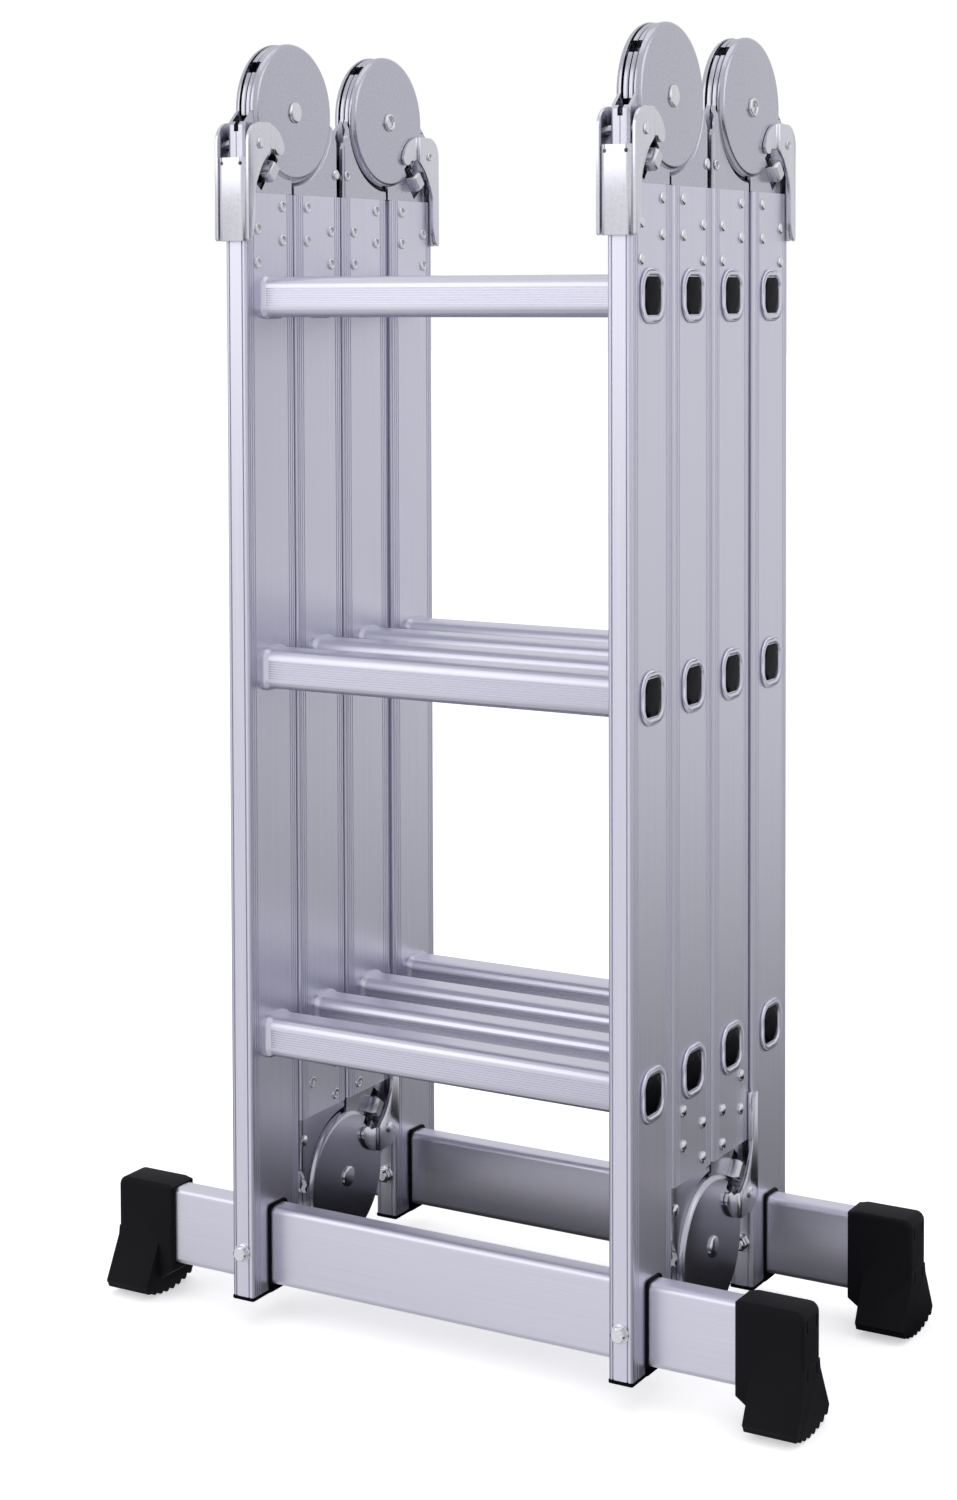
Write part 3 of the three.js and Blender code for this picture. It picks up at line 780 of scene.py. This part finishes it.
# ---- Stabiliser bars, feet and end caps ------------------------------------------------------------


def make_bar():
    wall = 2
    corner = 5
    outside = prism(rounded(BAR_THICKNESS, BAR_HEIGHT, corner, 8), -BAR_END, BAR_END, "x")
    hollow = rounded(BAR_THICKNESS - 2 * wall, BAR_HEIGHT - 2 * wall, corner - wall, 4)
    bore = prism(hollow, -BAR_END - THROUGH, BAR_END + THROUGH, "x")
    return finished(cut(outside, bore), "bar_aluminium")


def make_bolt():
    """A hex bolt along Y: head and washer towards -Y, nut and washer towards +Y."""
    face = STILE_DEPTH / 2
    seat = face + 0.05
    nut_bottom = face + 1.2
    nut_top = face + 5.4
    thread = 4
    shank_radius = 3.8
    washer_radius = 6.9
    hexagon_radius = 6
    segments = 48
    washer = turned([(seat, washer_radius), (face + 0.9, washer_radius), (nut_bottom, 6.5),
                     (nut_bottom, thread), (seat, thread)], True, segments, "y")
    hexagon = []
    for i in range(6):
        angle = math.radians(60 * i)
        hexagon.append((hexagon_radius * math.cos(angle), hexagon_radius * math.sin(angle)))
    nut = bevelled(prism(hexagon, nut_bottom, nut_top, "y"), 0.5)
    # A blunt cone that takes the corners off the hexagon.
    crown = turned([(face + 1, 6.8), (face + 4.3, 5.9), (nut_top, 4.5)], segments=segments, axis="y")
    head = common(nut, crown)
    end_profile = [(face - 2, thread), (face + 6.4, thread), (face + 7, 3.4)]
    end = turned(end_profile, segments=PIN_SEGMENTS, axis="y")
    turn = Matrix.Rotation(math.pi, 4, "Z")
    shank_profile = [(-face - 1, shank_radius), (face - 1.9, shank_radius)]
    shank = turned(shank_profile, segments=PIN_SEGMENTS, axis="y")
    parts = [washer, joined(nut, end), moved(washer, turn), moved(head, turn), shank]
    return finished(together(parts), "rivet_steel")


FOOT_SLEEVE_INNER = FOOT_LOW.x
FOOT_OUTER = FOOT_HIGH.x
FOOT_TOP = FOOT_HIGH.z - 6.5            # in the photo the foot ends lower than the CAD's
FOOT_TREAD_INNER = 251
TREAD_HALF = (FOOT_HIGH.y - FOOT_LOW.y) / 2
SLEEVE_HALF = 15
ROCKER_RADIUS = 75                      # of the rounded sole, which rests on the floor in its middle
TREAD_LOBES = 8
LOBE_DEPTH = 2.6


def tread_outline():
    edge = 11                           # height at which the tread is widest
    flank = [(-SLEEVE_HALF + 1, 50), (-SLEEVE_HALF, 43), (-TREAD_HALF, edge)]
    points = flank[:]
    reach = math.asin(TREAD_HALF / ROCKER_RADIUS)
    samples = 12 * TREAD_LOBES
    for i in range(samples + 1):
        t = i / samples
        angle = reach * (2 * t - 1)
        inset = LOBE_DEPTH * abs(math.cos(math.pi * TREAD_LOBES * t)) ** 3
        radius = ROCKER_RADIUS - inset
        points.append((radius * math.sin(angle), ROCKER_RADIUS - radius * math.cos(angle)))
    points += [(-y, z) for y, z in reversed(flank)]
    return points


def make_foot():
    inner, outer, top = FOOT_SLEEVE_INNER, FOOT_OUTER, FOOT_TOP
    inset = 0.4                         # the sleeve stays a little inside the foot's size
    corner = 7
    sole = 13                           # where the sleeve ends, inside the tread
    side = [(inner, 22), (FOOT_TREAD_INNER, sole), (outer - inset, sole)]
    side += arc((outer - corner, top - corner), corner - inset, 0, 90, 8)
    side += [(inner + corner, top - inset), (inner, BAR_HIGH.z + 1)]
    sleeve = prism(side, -SLEEVE_HALF, SLEEVE_HALF, "y")
    sleeve = bevelled(sleeve, width=3.4, segments=4, angle=80)
    tread = prism(tread_outline(), FOOT_TREAD_INNER, outer, "x")
    tread = bevelled(tread, width=0.7, angle=60)
    pocket = block(
        (inner - THROUGH, -BAR_THICKNESS / 2 - GAP, BAR_LOW.z - GAP),
        (BAR_END + GAP, BAR_THICKNESS / 2 + GAP, BAR_HIGH.z + GAP))
    # Four short slits in the outer end.
    depth = 2
    half_width = 0.8
    half_height = 4
    slits = []
    for y in (-8, 8):
        for z in (45, 78):
            slits.append(block((outer - depth, y - half_width, z - half_height),
                               (outer + depth, y + half_width, z + half_height)))
    return finished(cut(joined(sleeve, tread), pocket, *slits), "foot_rubber")


def make_end_cap():
    """A plate under the stile, with the lining of the notch that the bar lies in."""
    thickness = 3
    wall = 2
    proud = 1.9                         # how far the lining stands out of the stile
    bottom = STILE_BOTTOM - thickness
    plate_outline = rounded(STILE_WIDTH + 0.4, STILE_DEPTH + 0.4, 1.6, 3)
    plate = prism(plate_outline, bottom, STILE_BOTTOM - 0.05, "z")
    plate = bevelled(plate, width=0.8, segments=3)
    half = BAR_THICKNESS / 2 + wall
    top = BAR_MIDDLE + BAR_HEIGHT / 2 + wall
    lip = STILE_WIDTH / 2 + proud
    height = top - bottom
    lining_outline = rounded(2 * half, height, NOTCH_CORNER)
    lining_outline = [(y, z + bottom + height / 2) for y, z in lining_outline]
    lining = bevelled(prism(lining_outline, -lip, lip, "x"), 0.5)
    pocket_outline = rounded(BAR_THICKNESS + 2 * GAP, BAR_HEIGHT + 2 * GAP, 5.1)
    pocket = prism([(y, z + BAR_MIDDLE) for y, z in pocket_outline], -THROUGH, THROUGH, "x")
    hole_radius = 4.3
    hole_reach = 50                     # past both faces of the stile
    bolt_hole = turned([(-hole_reach, hole_radius), (hole_reach, hole_radius)],
                       segments=HOLE_SEGMENTS, axis="y")
    bolt_hole = moved(bolt_hole, Matrix.Translation((0, 0, BAR_MIDDLE)))
    # Below the bar the lining doesn't stand out of the stile.
    trims = []
    for side in (-1, 1):
        near, far = sorted((side * (STILE_WIDTH / 2 + 0.3), side * THROUGH))
        trims.append(block((near, -THROUGH, bottom - THROUGH), (far, THROUGH, BAR_LOW.z)))
    return finished(cut(joined(plate, lining), pocket, bolt_hole, *trims), "black_plastic")


# ---- Rivets of the hinge arms ----------------------------------------------------------------------

# Distance below the stile's end, and from the gap between the sections, of the four rivets of an arm.
ARM_RIVETS = [(9, 15.8), (26.5, 48.8), (34.6, 15.8), (52, 48.8)]
NECK_RIVET = (59.8, -45)                # on the arm of an inner plate, beside the stile's end
HEAD_GAP = 0.02                         # between a rivet's head and what it holds


def rivet_shank(face, radius):
    end = face - 0.6                    # just under the heads
    return turned([(-end, radius), (end, radius)], segments=HOLE_SEGMENTS)


def make_stile_rivet():
    """Domed towards +X, rolled towards -X."""
    base = STILE_WIDTH / 2 + HEAD_GAP
    head = dome(radius=4.3, height=1.9, base=base)
    tail = mirrored_x(ring_head(radius=4.4, height=1.3, base=base))
    return together([head, tail, rivet_shank(STILE_WIDTH / 2, 2.6)])


def make_neck_rivet():
    """Domed on the -X side and rolled on the +X side, as the pivot rivet is."""
    base = ARM_FACE + HEAD_GAP
    head = mirrored_x(dome(radius=4.2, height=1.8, base=base))
    tail = ring_head(radius=3.9, height=1.2, base=base)
    parts = together([rivet_shank(ARM_FACE, 2.4), head, tail])
    place = Matrix.Translation((0, -NECK_RIVET[0], NECK_RIVET[1]))
    return finished(moved(parts, place), "rivet_steel")


def make_arm_rivets(toward_gap, up):
    rivet = make_stile_rivet()
    parts = []
    for down, out in ARM_RIVETS:
        parts.append(moved(rivet, Matrix.Translation((0, -toward_gap * out, -up * down))))
    return together(parts)


# ---- Assembly --------------------------------------------------------------------------------------

stile_meshes = {
    True: make_stile(STILE_BOTTOM, True),
    False: make_stile(HINGED_STILE_BOTTOM, False),
}
rung_mesh = make_rung()
plug_meshes = {name: make_plug(side) for name, side in SIDES.items()}

for number in SECTIONS:
    section = f"section_{number}"
    for side_name in SIDES:
        node = f"{section}_{side_name}_stile"
        centre = middle_mm(node)
        put(f"{node}_tube", stile_meshes[number in STANDING], section,
            (centre.x, centre.y, 0), stands_for=node)
    for name in RUNGS:
        node = f"{section}_{name}_rung"
        centre = middle_mm(node)
        put(f"{node}_tube", rung_mesh, section, centre, stands_for=node)
        for side_name in SIDES:
            put(f"{section}_{name}_{side_name}_plug", plug_meshes[side_name], section,
                centre)

# Body of the outer plates, body of the inner plates, and the hinge's turn from its own frame.
HINGES = {
    "hinge_12": ("section_1", "section_2", Matrix.Rotation(math.pi, 4, "Z")),
    "hinge_23": ("section_3", "section_2", Matrix.Rotation(math.pi, 4, "Y")),
    "hinge_34": ("section_4", "section_3", Matrix.Identity(4)),
}
outer_mesh = make_outer_plates()
inner_mesh = make_inner_plates()
rivet_mesh = make_pivot_rivet()
lock_bar_mesh = make_lock_bar()
lever_mesh = make_lever()
lever_pin_mesh = make_lever_pin()
neck_rivet_mesh = make_neck_rivet()
for hinge, (outer_body, inner_body, turn) in HINGES.items():
    for side_name in SIDES:
        stem = f"{hinge}_{side_name}"
        ending = f"{hinge[-2:]}_{side_name}"
        centre = middle_mm(f"{stem}_pivot_rivet")
        put(f"{stem}_dished_plates", outer_mesh, outer_body, centre, turn,
            f"{stem}_outer_plates")
        put(f"{stem}_notched_plates", inner_mesh, inner_body, centre, turn,
            f"{stem}_inner_plates")
        put(f"{stem}_domed_rivet", rivet_mesh, outer_body, centre, turn,
            f"{stem}_pivot_rivet")
        put(f"{stem}_chamfered_bar", lock_bar_mesh, f"lock_bar_{ending}", centre, turn,
            f"{stem}_lock_bar")
        put(f"{stem}_bent_lever", lever_mesh, f"lever_{ending}", centre, turn,
            f"{stem}_release_lever")
        put(f"{stem}_lever_pin", lever_pin_mesh, f"lever_{ending}", centre, turn)
        put(f"{stem}_neck_rivet", neck_rivet_mesh, inner_body, centre, turn)

# Section, the side of it that faces the hinge's gap, and the end: each has a set of arm rivets.
RIVET_ENDS = [
    (1, 1, "top"), (2, -1, "top"), (3, 1, "top"), (4, -1, "top"), (2, 1, "bottom"), (3, -1, "bottom"),
]
for number, toward_gap, end in RIVET_ENDS:
    up = 1 if end == "top" else -1
    end_height = STILE_TOP if end == "top" else HINGED_STILE_BOTTOM
    for side_name, side in SIDES.items():
        mesh = make_arm_rivets(toward_gap, up)
        if side < 0:
            mesh = mirrored_x(mesh)
        centre = middle_mm(f"section_{number}_{side_name}_stile")
        edge = centre.y + toward_gap * STILE_DEPTH / 2
        put(f"section_{number}_{side_name}_{end}_rivets", finished(mesh, "rivet_steel"),
            f"section_{number}", (centre.x, edge, end_height))

bar_mesh = make_bar()
bolt_mesh = make_bolt()
foot_mesh = make_foot()
cap_mesh = make_end_cap()
for number, row in STANDING.items():
    section = f"section_{number}"
    node = f"{row}_stabiliser_bar"
    middle_y = middle_mm(f"{section}_left_stile").y
    facing = Matrix.Identity(4) if row == "front" else Matrix.Rotation(math.pi, 4, "Z")
    put(f"{row}_bar_tube", bar_mesh, section, (0, middle_y, BAR_MIDDLE),
        stands_for=node)
    for side_name, side in SIDES.items():
        x = middle_mm(f"{section}_{side_name}_stile").x
        put(f"{row}_{side_name}_bar_bolt", bolt_mesh, section,
            (x, middle_y, BAR_MIDDLE), facing)
        turn = Matrix.Identity(4) if side > 0 else Matrix.Rotation(math.pi, 4, "Z")
        put(f"{row}_{side_name}_rubber_foot", foot_mesh, section, (0, middle_y, 0), turn,
            f"{row}_{side_name}_foot")
        put(f"{section}_{side_name}_cap_and_lining", cap_mesh, section,
            (x, middle_y, 0), stands_for=f"{section}_{side_name}_end_cap")

# ---- Studio ----------------------------------------------------------------------------------------


def matt_plane(name, low, high, height, colour, roughness, glow=0.0):
    """A level rectangle of one plain colour, which isn't part of the object."""
    (x0, y0), (x1, y1) = low, high
    mesh = bpy.data.meshes.new(name)
    corners = [(x0, y0, height), (x1, y0, height), (x1, y1, height), (x0, y1, height)]
    mesh.from_pydata(corners, [], [(0, 1, 2, 3)])
    material = bpy.data.materials.new(name)
    material.use_nodes = True
    shader = material.node_tree.nodes["Principled BSDF"]
    shader.inputs["Base Color"].default_value = colour
    shader.inputs["Roughness"].default_value = roughness
    shader.inputs["Specular IOR Level"].default_value = 0.0
    shader.inputs["Emission Color"].default_value = (1, 1, 1, 1)
    shader.inputs["Emission Strength"].default_value = glow
    mesh.materials.append(material)
    plane = bpy.data.objects.new(name, mesh)
    bpy.context.scene.collection.objects.link(plane)
    return plane


def make_floor():
    """A white page that takes soft shadows, and that the metal doesn't mirror."""
    reach = 30
    floor = matt_plane("floor", (-reach, -reach), (reach, reach), 0, (0.93, 0.93, 0.93, 1), 0.9, glow=0.5)
    floor.visible_glossy = False
    floor.visible_diffuse = False


def make_painted_shade_card():
    """A card of painted shade on the floor behind the front bar, standing for the floor in the ladder's
    shadow. Only reflections see it: the rear bar and the lower discs mirror a dark, shaded floor in the
    photo."""
    # Painted shade: a near-black card that stands for the shaded floor under the ladder in reflections.
    card = matt_plane("painted_shade_card", (-0.34, -0.06), (0.34, 0.30), 0.002, (0.03, 0.03, 0.035, 1), 1.0)
    card.visible_camera = False
    card.visible_diffuse = False
    card.visible_shadow = False


LIGHT_TARGET = Vector((0, 0, 0.5))
# Place, width and height, and power in watts.
LIGHTS = {
    "front_softbox": ((-1.6, -2.6, 1.7), (2.2, 2.2), 12),
    "side_softbox": ((2.6, 0.4, 1.9), (1.6, 2.0), 6),
    "top_softbox": ((0, 0, 3.0), (2.0, 2.0), 5),
}


def area_light(name, place, size, power):
    data = bpy.data.lights.new(name, "AREA")
    data.shape = "RECTANGLE"
    data.size, data.size_y = size
    data.energy = power
    light = bpy.data.objects.new(name, data)
    bpy.context.scene.collection.objects.link(light)
    light.location = place
    light.rotation_euler = (LIGHT_TARGET - Vector(place)).to_track_quat("-Z", "Y").to_euler()


# Direction of a glow, where along it the light starts and where it is full, and its full strength.
GLOWS = [
    ((-0.25, -0.95, -0.2), 0.5, 1.0, 0.9),                  # in front of the ladder
    ((0, 0, 1), -0.33, -0.165, 0.79),                       # all around, from a little below level
    ((0, 0, -1), 0.42, 0.65, 0.6),                          # from below
]


def make_world():
    """A white page to look at. What lights the metal has a dim band low down behind the ladder."""
    world = bpy.data.worlds.new("studio")
    world.use_nodes = True
    nodes = world.node_tree.nodes
    links = world.node_tree.links
    place = nodes.new("ShaderNodeTexCoord")

    def rise(direction, low, high, most):
        """Light that grows from nothing to `most` along a direction."""
        along = nodes.new("ShaderNodeVectorMath")
        along.operation = "DOT_PRODUCT"
        along.inputs[1].default_value = Vector(direction).normalized()
        ramp = nodes.new("ShaderNodeMapRange")
        ramp.interpolation_type = "SMOOTHSTEP"
        ramp.inputs["From Min"].default_value = low
        ramp.inputs["From Max"].default_value = high
        ramp.inputs["To Min"].default_value = 0.0
        ramp.inputs["To Max"].default_value = most
        links.new(place.outputs["Generated"], along.inputs[0])
        links.new(along.outputs["Value"], ramp.inputs["Value"])
        return ramp.outputs["Result"]

    strength, *others = [rise(*glow) for glow in GLOWS]
    for other in others:
        brighter = nodes.new("ShaderNodeMath")
        brighter.operation = "MAXIMUM"
        links.new(strength, brighter.inputs[0])
        links.new(other, brighter.inputs[1])
        strength = brighter.outputs["Value"]
    background = nodes["Background"]
    background.inputs["Color"].default_value = (0.97, 0.97, 1.0, 1)
    page = nodes.new("ShaderNodeBackground")
    page.inputs["Color"].default_value = (1, 1, 1, 1)
    seen = nodes.new("ShaderNodeLightPath")
    mix = nodes.new("ShaderNodeMixShader")
    links.new(strength, background.inputs["Strength"])
    links.new(seen.outputs["Is Camera Ray"], mix.inputs["Fac"])
    links.new(background.outputs["Background"], mix.inputs[1])
    links.new(page.outputs["Background"], mix.inputs[2])
    links.new(mix.outputs["Shader"], nodes["World Output"].inputs["Surface"])
    bpy.context.scene.world = world


make_floor()
make_painted_shade_card()
make_world()
bpy.context.scene.view_settings.view_transform = "Standard"
for name, (place, size, power) in LIGHTS.items():
    area_light(name, place, size, power)
